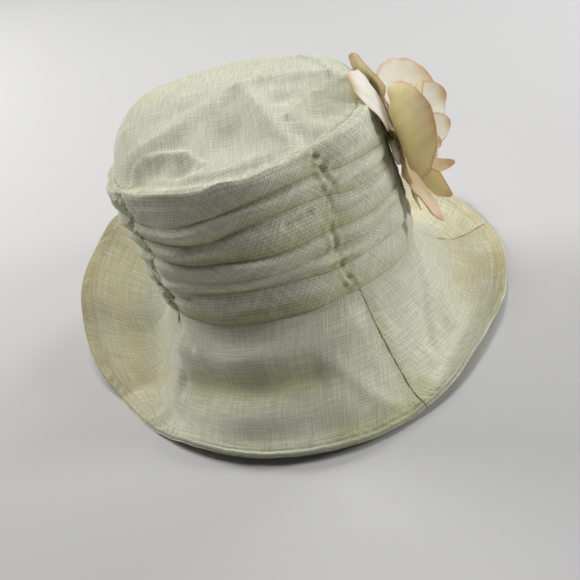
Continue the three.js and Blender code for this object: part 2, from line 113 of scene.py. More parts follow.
# Soft ridges of the top: height, half-width and the x and y of the points that the ridge runs through
TIP_RIDGES = [
    [3.4, 9, (-80, -33), (-64, -29), (-47, -23), (-28, -12), (-5, 0), (14, 9), (43, -4), (70, -20)],
    [2.2, 6, (3, 0), (9, -30), (12, -52), (20, -80)],
    [2.2, 4, (26, -60), (35, -50), (45, -37)],
    [2.0, 3.5, (-82, -46), (-79, -40), (-71, -37), (-57, -42), (-44, -51), (-35, -68)],
    [1.8, 4, (50, 44), (60, 24), (66, -6), (62, -18)],
    [2, 7, (-83, 0), (-83, -24)],
]

# The five long creases of the band, from the top down: height, and how tight each is from 0 to 1
CREASES = named(
    ["azimuth"] + [f"{column}{crease}" for crease in range(1, 6) for column in ("height", "depth")],
    [
        [-142, 78, 0.6, 61, 0.7, 45, 0.8, 32, 0.5, 21, 0.8],
        [-108, 80, 0.8, 60, 0.9, 44, 0.9, 33, 0.4, 22, 0.9],
        [-76, 76, 0.4, 61, 0.8, 47, 0.8, 34, 0.15, 21, 0.7],
        [-56, 73, 0.35, 60, 1, 45.5, 1, 33, 0.1, 22, 0.9],
        [-38, 71, 0.1, 60, 1, 44.5, 1, 33, 0, 24, 1],
        [-22, 76, 0.35, 62, 1, 44, 1, 33, 0, 25, 1],
        [-5, 81, 0.9, 68.5, 0.9, 43, 1, 32, 0.15, 24, 1],
        [12, 84, 1, 70, 0.6, 44, 1, 32.5, 0.6, 21, 0.9],
        [30, 80, 0.9, 63, 0.8, 43.5, 1, 32, 0.6, 21, 0.6],
        [50, 76, 1, 62, 0.6, 43.5, 0.9, 35, 0.4, 19.5, 0.5],
        [76, 71, 0.3, 58, 0.3, 42, 0.6, 33, 0.4, 20, 0.6],
        [118, 77, 0.6, 61, 0.7, 45, 0.8, 33, 0.6, 20, 0.7],
        [165, 79, 0.9, 61, 0.9, 43.5, 1, 32, 0.4, 22, 0.9],
    ],
)

# Azimuths of the gathers, and how far each one pulls the folds in, in degrees
GATHERS = [-158, -63, 18, 108]
GATHER_REACH = 6

# One fold of the band from the crease above it to the one below: how far it stands out, how far down
# it has come, and how far its cloth is tucked up under the lip above
FOLD_PROFILE = named(
    ["along", "out", "down", "tuck"],
    [
        [0, -0.6, 0, 2.2],
        [0.08, 3, 0.03, 0.8],
        [0.2, 6.4, 0.13, 0],
        [0.34, 8.4, 0.29, 0],
        [0.5, 8.6, 0.49, 0],
        [0.68, 7, 0.72, -0.4],
        [0.84, 4.8, 0.92, -1],
        [0.94, 2.4, 1, -1.6],
        [1, -0.6, 1, 2.2],
    ],
)

# How full each fold of the band is, from the top down
FOLD_FULLNESS = [1, 1.05, 0.8, 0.85, 0.85, 0.5]

# Short creases beside the long ones: from azimuth and height, to azimuth and height, depth
SHORT_CREASES = [
    [29, 70, 57, 64.7, 1.2],
    [-62, 13, -45, 18, 1.3],
    [2, 61, 11, 63, 1.6],
    [-60, 88, -52, 84, 1.4],
    [20, 90, 34, 92, 0.9],
    [20, 54, 33, 55, 1.2],
    [-58, 53, -44, 52, 0.9],
]

# The brim's section, out and down from the seam: where its wall ends, where it bends and its edge,
# and how far the edge curls up
BRIM_SECTIONS = named(
    ["azimuth", "wall_out", "wall_height", "bend_out", "bend_height", "edge_out", "edge_height", "lip"],
    [
        [-160, 16, -15, 42, -13, 70, 26, 0],
        [-134, 16, -11, 42, -2, 73, 32, 0],
        [-126, 15, -13, 40, -9, 78, 20, 0],
        [-113, 12, -18, 36, -24, 80, 0, 0],
        [-106, 11, -21, 32, -36, 78, -19, 0],
        [-92, 9, -26, 26, -49, 66, -45, 0],
        [-81, 9, -27, 26, -56, 54, -61, 2],
        [-65, 10, -27, 29, -60, 47, -70, 5],
        [-42, 11, -28, 29, -59, 44, -72, 5],
        [-25, 12, -29, 31, -59, 45, -73, 2],
        [-5, 12, -29, 32, -60, 46, -75, 1],
        [10, 12, -29, 32, -61, 46, -77, 2],
        [22, 12, -30, 32, -63, 46, -76, 5],
        [34, 11, -31, 31, -65, 46, -72, 7],
        [47, 10, -31, 29, -64, 46, -67, 8],
        [60, 10, -28, 28, -58, 49, -60, 5],
        [82, 10, -26, 29, -50, 56, -52, 1],
        [100, 12, -24, 36, -44, 66, -44, 0],
        [114, 14, -22, 42, -38, 72, -36, 0],
        [126, 15, -19, 45, -33, 76, -25, 0],
        [150, 15, -18, 44, -29, 72, -2, 0],
        [176, 15, -17, 42, -26, 68, 16, 0],
    ],
)

# The brim's panels, each between two seams, and the one seam that lies flat
BRIM_PANELS = [
    ["brim_back_left", -66, 22],
    ["brim_back_right", 22, 108],
    ["brim_front_right", 108, 202],
    ["brim_front_left", 202, 294],
]
FLAT_SEAM = -66

# Round the hem's edge: how far out of the brim's edge and how far below its upper side
HEM_ROLL = [
    [0, 0],
    [0.7, 0.25],
    [1.0, 0.8],
    [0.7, 1.25],
    [0.35, 1.5],
    [0.9, 1.8],
    [1.7, 2.3],
    [1.4, 2.9],
    [0.5, 3.2],
]
HEM_WIDTH = 7

# Soft swells and hollows of the brim: how far it stands proud, half-width, and the azimuth and the
# distance from the seam of the points that each runs through
BRIM_SWELLS = [
    [4, 9, (-60, 21), (-40, 24), (-20, 24), (0, 22), (14, 17)],
    [-4.2, 9, (-58, 47), (-40, 45), (-20, 44), (-3, 42)],
    [1.6, 9, (-50, 66), (-20, 64), (2, 60)],
    [-2.4, 5, (66, 8), (56, 20), (46, 38), (38, 58)],
    [1.8, 7, (80, 16), (66, 34), (54, 54)],
    [-1.6, 3.5, (-66, 3), (-60, 13), (-50, 20)],
    [1.4, 6, (5, 40), (10, 62), (16, 80)],
    [-1.3, 8, (-30, 82), (-8, 78), (8, 84)],
]

# Yellowed places of the brim, and painted olive shade in the hollow below the band (the first row), laid
# out in the same way: strength, half-width, points
BRIM_STAINS_AND_SHADE = [
    [0.6, 11, (-52, 46), (-38, 43), (-20, 42), (-4, 41)],
    [0.35, 8, (-92, 66), (-78, 72), (-62, 80)],
    [0.5, 12, (2, 84), (14, 86), (24, 80)],
    [0.4, 6, (24, 10), (22, 50), (22, 90)],
    [0.35, 5, (-70, 96), (0, 98), (70, 96)],
    [0.4, 10, (60, 90), (90, 88)],
]

# Where the flower's pad sits, the way that its stalk points, and the rings that petals are sewn to
FLOWER_AZIMUTH = 80
FLOWER_HEIGHT = 64
STALK_AZIMUTH = 88
STALK_RISE = 11
PAD_THICKNESS = 2.5
STALK_RADIUS = 5
PETAL_EASE = 0.8
PETAL_LEVELS = [1, 2.4, 3.8, 5.2, 6.6, 8.6, 10.6]
PETAL_LEAST = 3

# Petals that lie low in the flower's shade, painted with the back's darker colour on both sides and a brown
# wash all over, as painted shade
SHADED_PETALS = [
    "petal_outer_near_low",
    "petal_outer_low",
    "petal_outer_low_near",
    "petal_middle_far_low",
]

# Level is the stalk's ring. Turn is measured round the stalk, from the top of the hat towards its
# back. Opening and tip are the angles between the stalk and the petal's foot and tip, fan the widest
# angle that it takes near the stalk, and roll its twist, which is whole from ROLL_SHARE of its length.
ROLL_SHARE = 0.4
PETAL_COLUMNS = ["level", "turn", "opening", "tip", "length", "width", "fan", "roll"]
PETALS = {
    "petal_back": [0, 92, 96, 106, 36, 18, 18, 0],
    "petal_outer_near_low": [0, 220, 88, 88, 62, 29, 28, 26],
    "petal_outer_shoulder": [0, 32, 78, 121, 66, 57, 32, -5],
    "petal_outer_far": [0, -90, 95, 104, 42, 26, 28, 0],
    "petal_outer_top": [1, -42, 82, 103, 66, 56, 44, 12],
    "petal_outer_low": [0, 166, 97, 97, 46, 25, 24, 0],
    "petal_outer_far_top": [2, -76, 80, 96, 56, 34, 34, -1],
    "petal_outer_low_near": [1, 138, 94, 82, 63, 23, 34, 28],
    "petal_middle_far_low": [3, -146, 106, 14, 62, 15, 24, 42],
    "petal_middle_low": [2, 170, 86, 62, 50, 50, 30, -22],
    "petal_middle_near": [3, 67, 105, 21, 58, 89, 60, -9],
    "petal_middle_far_top": [4, -85, 90, 26, 79, 92, 64, -9],
    "petal_middle_far": [5, -93, 79, 21, 67, 48, 60, 6],
    "petal_inner_far": [6, -119, 70, 11, 44, 30, 50, 28],
    "petal_inner_top": [6, 0, 64, 14, 34, 36, 50, 0],
    "petal_inner_low": [6, 118, 60, 14, 23, 34, 50, 0],
}


# The hat's form, worked out from the tables above

RIPPLE_WAVES = 10


def pick(table, index):
    """The row of a table that each place asks for."""
    return np.take_along_axis(table, index[None], 0)[0]


def through_knots(knots, values, x):
    """Smooth curve through uneven knots at x. Each knot and value is a number or an array like x."""
    x = np.asarray(x, float)
    k = np.stack([np.broadcast_to(a, x.shape) for a in knots]).astype(float)
    v = np.stack([np.broadcast_to(a, x.shape) for a in values]).astype(float)
    i = (x[None] > k[1:-1]).sum(0)
    slope = np.concatenate(
        [
            (v[1:2] - v[:1]) / (k[1:2] - k[:1]),
            (v[2:] - v[:-2]) / (k[2:] - k[:-2]),
            (v[-1:] - v[-2:-1]) / (k[-1:] - k[-2:-1]),
        ]
    )
    span = pick(k, i + 1) - pick(k, i)
    t = (x - pick(k, i)) / span
    rise = t * t * (3 - 2 * t)
    leave = t * (1 - t) ** 2 * span * pick(slope, i)
    arrive = t * t * (t - 1) * span * pick(slope, i + 1)
    return pick(v, i) * (1 - rise) + pick(v, i + 1) * rise + leave + arrive


def around(table, column, azimuth):
    """One column of a table that runs round the head."""
    turn = np.mod(np.asarray(azimuth, float) + 180, 360) - 180
    knots = np.concatenate([table["azimuth"][-2:] - 360, table["azimuth"], table["azimuth"][:2] + 360])
    values = np.concatenate([table[column][-2:], table[column], table[column][:2]])
    return through_knots(knots, values, turn)


def along_section(points, share):
    """Point of a section at an even share of its length, and that length."""
    knots = [0 * share]
    for (r0, h0), (r1, h1) in zip(points, points[1:]):
        knots.append(knots[-1] + np.hypot(r1 - r0, h1 - h0))
    x = share * knots[-1]
    return [through_knots(knots, [p[axis] for p in points], x) for axis in (0, 1)] + [knots[-1]]


def head_radius(azimuth):
    """Radius of the head's oval, which the band fits."""
    a = np.radians(azimuth)
    across = HEAD_HALF_LENGTH * np.sin(a)
    lengthwise = HEAD_HALF_WIDTH * np.cos(a)
    return HEAD_HALF_WIDTH * HEAD_HALF_LENGTH / np.hypot(across, lengthwise)


def on_hat(azimuth, radius, height):
    a = np.radians(azimuth)
    return np.stack(np.broadcast_arrays(radius * np.sin(a), -radius * np.cos(a), height), -1).astype(float)


def settled(points):
    """From the crown's frame to the hat as it rests on the table."""
    return points @ LEAN.T + SEAM_MIDDLE


def apart(a, b):
    """Degrees from one azimuth to another, the shorter way round."""
    return (np.asarray(a) - b + 180) % 360 - 180


def bell(away, half_width, power=2):
    """1 in the middle, and less the further away."""
    return np.exp(-((away / half_width) ** power))


def ramp(value, width):
    """Rises from 0 to 1 as a value goes from 0 to a width."""
    return np.clip(value / width, 0, 1)


def unit(vectors):
    return vectors / np.linalg.norm(vectors, axis=-1, keepdims=True)


def ripples(rng, x, y, size_x, size_y):
    """Gentle uneven waves, about -1 to 1, of a given size along each direction."""
    total = 0
    for _ in range(RIPPLE_WAVES):
        angle, phase = rng.uniform(0, 2 * math.pi, 2)
        across = x * math.cos(angle) * 2 * math.pi / size_x
        along = y * math.sin(angle) * 2 * math.pi / size_y
        total = total + np.sin(across + along + phase)
    return total / math.sqrt(RIPPLE_WAVES)


def from_line(x, y, line):
    """Distance from a line through several points."""
    nearest = np.full(x.shape, np.inf)
    for (x0, y0), (x1, y1) in zip(line, line[1:]):
        run, rise = x1 - x0, y1 - y0
        along = np.clip(((x - x0) * run + (y - y0) * rise) / (run ** 2 + rise ** 2), 0, 1)
        nearest = np.minimum(nearest, np.hypot(x - x0 - along * run, y - y0 - along * rise))
    return nearest


def gather_pull(azimuth):
    nearest = np.min([np.abs(apart(azimuth, gather)) for gather in GATHERS], axis=0)
    return bell(nearest, GATHER_REACH)


def band_base(azimuth, height):
    """Radius of the band's inner side, without its folds."""
    top = around(TIP_SECTIONS, "seam_height", azimuth)
    scales = [1, around(TIP_SECTIONS, "waist", azimuth), around(TIP_SECTIONS, "seam", azimuth)]
    return head_radius(azimuth) * through_knots([0, WAIST_SHARE, 1], scales, height / top)


# Working the cloth


def clear_selection():
    bpy.ops.object.select_all(action="DESELECT")


def new_object(name, data):
    made = bpy.data.objects.new(name, data)
    bpy.context.scene.collection.objects.link(made)
    return made


def take(piece):
    clear_selection()
    piece.select_set(True)
    bpy.context.view_layer.objects.active = piece


def flat_cloth(name, columns, rows):
    """A flat piece of cloth, with each point's place across and along it from 0 to 1."""
    clear_selection()
    bpy.ops.mesh.primitive_grid_add(x_subdivisions=columns, y_subdivisions=rows, size=1, location=(0, 0, 0))
    piece = bpy.context.object
    piece.name = piece.data.name = name
    flat = np.empty(len(piece.data.vertices) * 3, np.float32)
    piece.data.vertices.foreach_get("co", flat)
    flat = flat.reshape(-1, 3).astype(float) + 0.5
    return piece, flat[:, 0], flat[:, 1]


def shape(piece, points):
    piece.data.vertices.foreach_set("co", (points * MM).astype(np.float32).ravel())
    piece.data.update()


def lay_weave(piece, across, along, turn=0):
    """The cloth's own coordinates, in centimetres, turned from the thread by an angle."""
    c, s = math.cos(math.radians(turn)), math.sin(math.radians(turn))
    uv = np.stack([c * across - s * along, s * across + c * along], -1) / 10
    corner = np.empty(len(piece.data.loops), np.int32)
    piece.data.loops.foreach_get("vertex_index", corner)
    layer = piece.data.uv_layers[0]
    layer.name = "weave"
    layer.data.foreach_set("uv", uv[corner].astype(np.float32).ravel())


def paint(piece, name, values):
    layer = piece.data.attributes.new(name, "FLOAT", "POINT")
    layer.data.foreach_set("value", np.clip(values, 0, 1).astype(np.float32))


def work_mesh(piece, operator, **settings):
    """One mesh operator on the whole piece."""
    take(piece)
    bpy.ops.object.mode_set(mode="EDIT")
    bpy.ops.mesh.select_all(action="SELECT")
    operator(**settings)
    bpy.ops.object.mode_set(mode="OBJECT")


def sew_shut(piece, distance=0.00002):
    """Joins the edges that meet, turns the faces outwards and smooths them."""
    work_mesh(piece, bpy.ops.mesh.remove_doubles, threshold=distance)
    work_mesh(piece, bpy.ops.mesh.normals_make_consistent, inside=False)
    bpy.ops.object.shade_smooth()


def give_thickness(piece, thickness):
    """Turns a single layer of cloth into a wall that lies behind it."""
    take(piece)
    wall = piece.modifiers.new("cloth thickness", "SOLIDIFY")
    wall.thickness = thickness * MM
    wall.offset = -1
    wall.use_even_offset = False
    bpy.ops.object.modifier_apply(modifier=wall.name)


def finish_piece(piece, material, slot, *nodes):
    piece.data.materials.clear()
    piece.data.materials.append(material)
    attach(piece, "root")
    if nodes:
        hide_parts(*nodes)
    return piece


# Finishes


def add(tree, kind, inputs=None, **settings):
    """A shader node, with its inputs set to a value or joined to another node's output."""
    node = tree.nodes.new("ShaderNode" + kind)
    for key, value in settings.items():
        setattr(node, key, value)
    for key, value in (inputs or {}).items():
        if isinstance(value, bpy.types.NodeSocket):
            tree.links.new(value, node.inputs[key])
        else:
            node.inputs[key].default_value = value
    return node


def reckon(tree, operation, *values):
    return add(tree, "Math", dict(enumerate(values)), operation=operation).outputs[0]


def mix(tree, amount, under, over, blend="MIX"):
    inputs = {0: amount, 6: under, 7: over}
    return add(tree, "Mix", inputs, data_type="RGBA", blend_type=blend).outputs[2]


def spread(tree, value, low, high, to_low=0.0, to_high=1.0):
    """Brings a value between low and high to a range of its own, and keeps it there."""
    return add(tree, "MapRange", {0: value, 1: low, 2: high, 3: to_low, 4: to_high}).outputs[0]


def stretched(tree, place, factors):
    return add(tree, "VectorMath", {0: place, 1: factors}, operation="MULTIPLY").outputs[0]


def new_group(name, inputs, outputs):
    group = bpy.data.node_groups.new(name, "ShaderNodeTree")
    for label, kind, value in inputs:
        socket = group.interface.new_socket(label, in_out="INPUT", socket_type="NodeSocket" + kind)
        if value is not None:
            socket.default_value = value
    for label, kind in outputs:
        group.interface.new_socket(label, in_out="OUTPUT", socket_type="NodeSocket" + kind)
    return group, group.nodes.new("NodeGroupInput"), group.nodes.new("NodeGroupOutput")


def linen_weave():
    """Plain weave with uneven threads. Place is in centimetres along the threads."""
    group, given, result = new_group(
        "linen weave",
        [("Place", "Vector", None), ("Threads", "Float", 11.0), ("Slubs", "Float", 1.0)],
        [("Thread", "Float"), ("Tone", "Float")],
    )
    place = given.outputs["Place"]
    wander = add(group, "TexNoise", {"Vector": place, "Scale": 1.1, "Detail": 2.0}).outputs[0]
    wander = reckon(group, "MULTIPLY_ADD", wander, 3.0, -1.5)
    axes = add(group, "SeparateXYZ", {0: place})
    half_turns = reckon(group, "MULTIPLY", given.outputs["Threads"], math.pi)
    waves = []
    for axis in (0, 1):
        turn = reckon(group, "MULTIPLY", axes.outputs[axis], half_turns)
        waves.append(reckon(group, "SINE", reckon(group, "ADD", turn, wander)))
    uneven = add(group, "TexNoise", {"Vector": place, "Scale": 6.0, "Detail": 3.0}).outputs[0]
    swing = spread(group, uneven, 0.35, 0.62, 0.1, 0.5)
    over_under = reckon(group, "MULTIPLY_ADD", reckon(group, "MULTIPLY", *waves), swing, 0.5)
    slubs = []
    for stretch in ((9.0, 0.45, 1), (0.45, 9.0, 1)):
        threads = stretched(group, place, stretch)
        noise = {"Vector": threads, "Scale": 1.0, "Detail": 4.0, "Roughness": 0.65}
        slubs.append(spread(group, add(group, "TexNoise", noise).outputs[0], 0.35, 0.68))
    both = reckon(group, "MULTIPLY", reckon(group, "ADD", *slubs), given.outputs["Slubs"])
    group.links.new(over_under, result.inputs["Thread"])
    group.links.new(spread(group, both, 0.45, 1.55), result.inputs["Tone"])
    return group


def blotches():
    """Slow uneven change of tone, as of cloth that has been washed and worn."""
    inputs = [("Place", "Vector", None), ("Size", "Float", 0.04)]
    group, given, result = new_group("blotches", inputs, [("Tone", "Float")])
    scale = reckon(group, "DIVIDE", 1.0, given.outputs["Size"])
    cloud = {"Vector": given.outputs["Place"], "Scale": scale, "Detail": 3.0, "Roughness": 0.55}
    tone = spread(group, add(group, "TexNoise", cloud).outputs[0], 0.35, 0.68)
    group.links.new(tone, result.inputs["Tone"])
    return group


WEAVE = linen_weave()
BLOTCHES = blotches()


def new_material(name):
    material = bpy.data.materials.new(name)
    material.use_nodes = True
    tree = material.node_tree
    tree.nodes.clear()
    shader = tree.nodes.new("ShaderNodeBsdfPrincipled")
    tree.links.new(shader.outputs[0], tree.nodes.new("ShaderNodeOutputMaterial").inputs[0])
    return material, tree, shader


def woven(tree, place, threads, slubs):
    return add(tree, "Group", {"Place": place, "Threads": threads, "Slubs": slubs}, node_tree=WEAVE).outputs


def worn(tree, size):
    """The tone of blotches of a size, in metres."""
    place = add(tree, "TexCoord").outputs["Object"]
    return add(tree, "Group", {"Place": place, "Size": size}, node_tree=BLOTCHES).outputs["Tone"]


def painted(tree, name):
    return add(tree, "Attribute", attribute_name=name).outputs["Fac"]


def rgb(*values):
    return (*values, 1)


def darkened(tree, colour, value, least, most):
    """A colour times a grey, which goes from least to most as a value goes from 0 to 1."""
    level = spread(tree, value, 0, 1, least, most)
    grey = add(tree, "CombineColor", {0: level, 1: level, 2: level}).outputs[0]
    return mix(tree, 1.0, colour, grey, "MULTIPLY")


def add_bump(tree, shader, height, strength, distance):
    bump = add(tree, "Bump", {"Height": height, "Strength": strength, "Distance": distance})
    tree.links.new(bump.outputs[0], shader.inputs["Normal"])


def set_shader(tree, shader, colour, **settings):
    tree.links.new(colour, shader.inputs["Base Color"])
    for name, value in settings.items():
        shader.inputs[name.replace("_", " ").title()].default_value = value


def undyed_linen():
    """Undyed linen, with its yellowing, painted light shining through its turned-up flanges, olive stains,
    painted olive shade under its folds and painted shade in its creases and hollows, all painted on it.
    """
    material, tree, shader = new_material("undyed linen")
    weave = woven(tree, add(tree, "UVMap", uv_map="weave").outputs[0], 11.0, 1.0)
    tone = worn(tree, 0.045)
    dark, light, washed = rgb(0.595, 0.62, 0.465), rgb(0.865, 0.89, 0.75), rgb(0.66, 0.66, 0.46)
    dark_yellow, light_yellow = rgb(0.66, 0.56, 0.31), rgb(0.88, 0.79, 0.52)
    olive_stain_and_shade, shade = rgb(0.68, 0.65, 0.38), rgb(0.30, 0.28, 0.14)
    colour = mix(tree, weave["Tone"], dark, light)
    colour = mix(tree, reckon(tree, "MULTIPLY", tone, 0.2), colour, washed)
    # Yellowing and painted light through the flanges, then olive stains and painted olive shade, then
    # painted shade
    yellowing_and_backlight = reckon(tree, "MULTIPLY", painted(tree, "yellowing_and_backlight"), spread(tree, tone, 0, 1, 0.6, 1))
    colour = mix(tree, yellowing_and_backlight, colour, mix(tree, weave["Tone"], dark_yellow, light_yellow))
    colour = mix(tree, painted(tree, "olive_stain_and_shade"), colour, mix(tree, 1.0, colour, olive_stain_and_shade, "MULTIPLY"))
    colour = mix(tree, painted(tree, "shade"), colour, shade)
    colour = darkened(tree, colour, weave["Thread"], 0.66, 1.2)
    height = reckon(tree, "MULTIPLY_ADD", weave["Tone"], 0.6, weave["Thread"])
    add_bump(tree, shader, height, 0.8, 0.0004)
    set_shader(tree, shader, colour, roughness=0.92, sheen_weight=0.15)
    return material


def petal_cloth():
    """Thin cotton, dyed darker on its back and brown along its rim."""
    material, tree, shader = new_material("petal cloth")
    weave = woven(tree, add(tree, "UVMap", uv_map="weave").outputs[0], 16.0, 0.6)
    tone = worn(tree, 0.02)
    inside = mix(tree, tone, rgb(0.86, 0.83, 0.70), rgb(0.92, 0.90, 0.80))
    outside = mix(tree, tone, rgb(0.86, 0.67, 0.43), rgb(0.93, 0.76, 0.54))
    green, blush = rgb(0.82, 0.80, 0.36), rgb(0.56, 0.34, 0.22)
    outside = mix(tree, painted(tree, "green"), outside, green)
    colour = mix(tree, painted(tree, "back"), inside, outside)
    colour = mix(tree, painted(tree, "blush"), colour, blush)
    colour = darkened(tree, colour, weave["Tone"], 0.92, 1.05)
    add_bump(tree, shader, weave["Tone"], 0.3, 0.0002)
    thin = {"subsurface_weight": 0.4, "subsurface_radius": (1, 0.85, 0.5), "subsurface_scale": 0.004}
    set_shader(tree, shader, colour, roughness=0.75, sheen_weight=0.2, **thin)
    return material


def stalk_cloth():
    """Cloth strip wound round the flower's stalk, and its pad."""
    material, tree, shader = new_material("stalk cloth")
    metres = add(tree, "TexCoord").outputs["Object"]
    weave = woven(tree, stretched(tree, metres, (100, 100, 100)), 12.0, 1.0)
    colour = mix(tree, worn(tree, 0.008), rgb(0.36, 0.31, 0.14), rgb(0.56, 0.48, 0.26))
    add_bump(tree, shader, weave["Thread"], 0.5, 0.0003)
    set_shader(tree, shader, colour, roughness=0.9)
    return material


def sewing_thread():
    material, tree, shader = new_material("sewing thread")
    colour = mix(tree, worn(tree, 0.006), rgb(0.60, 0.52, 0.32), rgb(0.78, 0.72, 0.52))
    set_shader(tree, shader, colour, roughness=0.7)
    return material


LINEN = undyed_linen()
PETAL_CLOTH = petal_cloth()
STALK_CLOTH = stalk_cloth()
THREAD = sewing_thread()


# Crown: the top and the gathered band

TIP_COLUMNS = 320
TIP_ROWS = 110
TIP_ROW_CROWDING = 1.15
TIP_WALL = 1.4
TIP_WEAVE_TURN = 8
TIP_SEAM_OUT = 0.5

# Groove along the seam at the back of the top: depth, distance from the seam, half-width, and the
# azimuth and half-length of its middle
TIP_GROOVE = [3.2, 7, 5.5, -36, 52]


def tip_point(azimuth, share):
    """Outer side of the crown's top, from its seam (share 0) to its apex (share 1)."""
    oval = head_radius(azimuth)
    row = lambda column: around(TIP_SECTIONS, column, azimuth)
    section = [
        (oval * row("seam") + TIP_SEAM_OUT, row("seam_height") + SEWN_GAP),
        (oval * row("shoulder"), row("shoulder_height")),
        (oval * row("crest"), row("crest_height")),
        (0 * oval, TIP_APEX[1] + 0 * oval),
    ]
    radius, height, length = along_section(section, share)
    settle = 1 - radius / (oval * row("seam"))
    point = on_hat(azimuth, radius, height)
    point[..., 1] += TIP_APEX[0] * settle
    for turn, out, depth, half_width in TIP_DENTS:
        middle = on_hat(turn, head_radius(turn) * out, 0)
        away = np.hypot(point[..., 0] - middle[..., 0], point[..., 1] - middle[..., 1])
        point[..., 2] -= depth * bell(away, half_width) * np.minimum(1, settle * 6)
    return point, length


def spots(x, y, table):
    """Round marks, each with its middle's x and y, its strength and its half-width."""
    return sum(strength * bell(np.hypot(x - mx, y - my), size) for mx, my, strength, size in table)


def crown_tip():
    piece, u, v = flat_cloth("linen_crown_tip", TIP_COLUMNS, TIP_ROWS)
    azimuth, share = u * 360 - 180, v ** TIP_ROW_CROWDING
    point, length = tip_point(azimuth, share)
    rng = np.random.default_rng(11)
    x, y = point[:, 0], point[:, 1]
    rim = share * length
    inside = ramp(rim, 8)
    point[:, 2] += 0.5 * ripples(rng, x, y, 60, 60) * ramp(rim, 25)
    point[:, 2] += 0.6 * ripples(rng, azimuth * 1.6, rim, 9, 40) * np.exp(-rim / 9)
    point[:, 2] -= inside * spots(x, y, TIP_HOLLOWS)
    for rise, half_width, *line in TIP_RIDGES:
        away = from_line(x, y, line)
        point[:, 2] += rise * inside * (1.3 * bell(away, half_width) - 0.3 * bell(away, 2 * half_width))
    depth, middle, half_width, turn, reach = TIP_GROOVE
    point[:, 2] -= depth * bell(rim - middle, half_width) * bell(apart(azimuth, turn), reach, 4)
    tuck = np.exp(-rim / 1.2)
    point -= on_hat(azimuth, 1.2 * tuck, tuck)
    lay_weave(piece, x, y, TIP_WEAVE_TURN)
    paint(piece, "yellowing_and_backlight", 0.15 * ramp(y + 10, 80) + spots(x, y, TIP_STAINS))
    # Painted olive shade and painted shade along the seam, where the band's roll hangs over the top
    paint(piece, "olive_stain_and_shade", 0.3 * np.exp(-rim / 4))
    paint(piece, "shade", 0.2 * np.exp(-rim / 2))
    shape(piece, settled(point))
    sew_shut(piece)
    give_thickness(piece, TIP_WALL)
    return finish_piece(piece, LINEN, "linen", "crown_tip")


FOLDS = len(FOLD_FULLNESS)
FOLD_ROWS = 19
LINING_ROWS = 10
BAND_COLUMNS = 600
BAND_RADIUS = 95
BAND_WEAVE_TURN = 45

# How far the cloth stands out at the top seam, where no crease holds it and at the most, and how
# much of that it gives up behind the flower
TOP_SEAM_OUT = 1.5
OPEN_OUT = 7.8
MOST_OUT = 10
FLOWER_ROOM = 5.6

# The roll along the band's top: its rise, and how much of the first fold it takes up
ROLL_RISE = 2.4
ROLL_WIDTH = 0.32

# Along the cloth, a fold takes this much of it, and the lining starts here
FOLD_CLOTH = 17
LINING_CLOTH = 110


def round_band(azimuth):
    """Distance along the band, in millimetres."""
    return np.radians(azimuth) * BAND_RADIUS


def gathered(rng, azimuth, height, top):
    """How far the gathers move the band's cloth out, and how deep their pits are."""
    moved, pits = np.zeros_like(height), np.zeros_like(height)
    held = ramp(height, 6) * ramp(top - height, 4)
    for gather in GATHERS:
        aside = round_band(apart(azimuth, gather) + 1.6 * np.sin(height / 13 + gather))
        uneven = np.clip(0.75 + 0.6 * ripples(rng, 0 * aside, height, 60, 26), 0.1, 1.3)
        knots = bell(aside, 5) * ripples(rng, aside, height, 7, 7) * uneven
        streaks = np.exp(-np.abs(aside) / 17) * ripples(rng, aside, height, 60, 6.5)
        moved += (2.3 * knots + 1.1 * streaks - 0.7 * bell(aside, 1.1)) * held
        pits = np.maximum(pits, held * bell(aside, 7) * np.clip(-knots, 0, 1))
    return moved, pits


